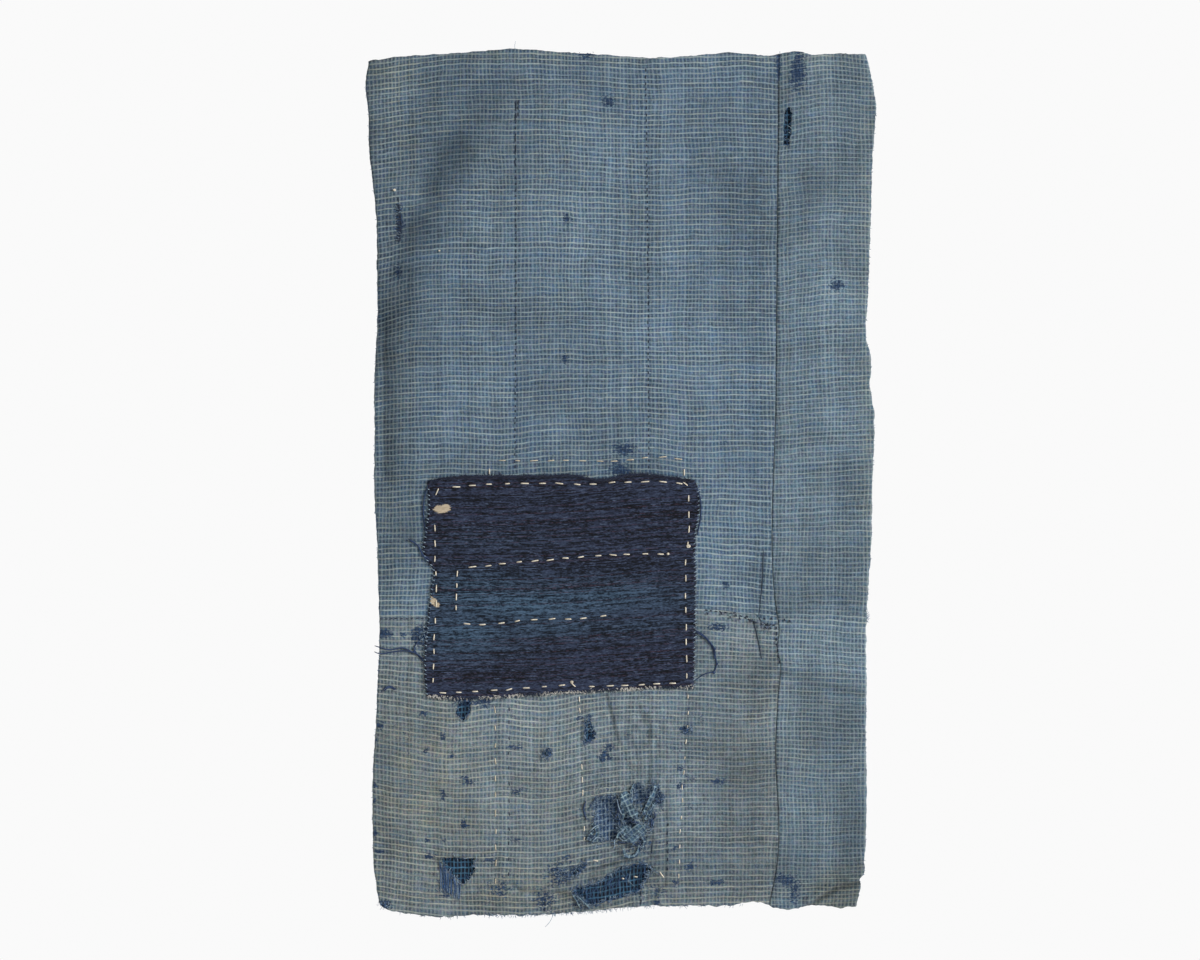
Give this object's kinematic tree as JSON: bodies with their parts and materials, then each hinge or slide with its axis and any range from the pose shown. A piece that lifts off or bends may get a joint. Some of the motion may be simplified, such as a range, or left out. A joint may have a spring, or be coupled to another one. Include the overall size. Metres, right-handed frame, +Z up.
{
  "type": "boro patched cloth",
  "caption": "Hanging doubled cotton cloth of faded indigo check, pieced with a side strip and mended with a dark indigo patch, worn and torn near its bottom hem.",
  "frame": {"origin": "on the front cloth in the middle of its top edge, where it is held up", "axes": "+Z up along the cloth, -Y out of its front towards the viewer, +X to the viewer's right"},
  "size_m": [0.422, 0.0307, 0.7168],
  "materials": {
    "upper_check": "faded hand-woven indigo check",
    "lower_check": "worn and browned hand-woven indigo check",
    "strip_check": "faded hand-woven indigo check",
    "inner_check": "unfaded dark indigo check",
    "patch_slub": "dark indigo slub stripe"
  },
  "bodies": {
    "root": {"upper_panel": "upper_check", "lower_panel": "lower_check", "side_strip": "strip_check", "back_layer": "inner_check", "front_patch": "patch_slub"}
  },
  "joints": []
}
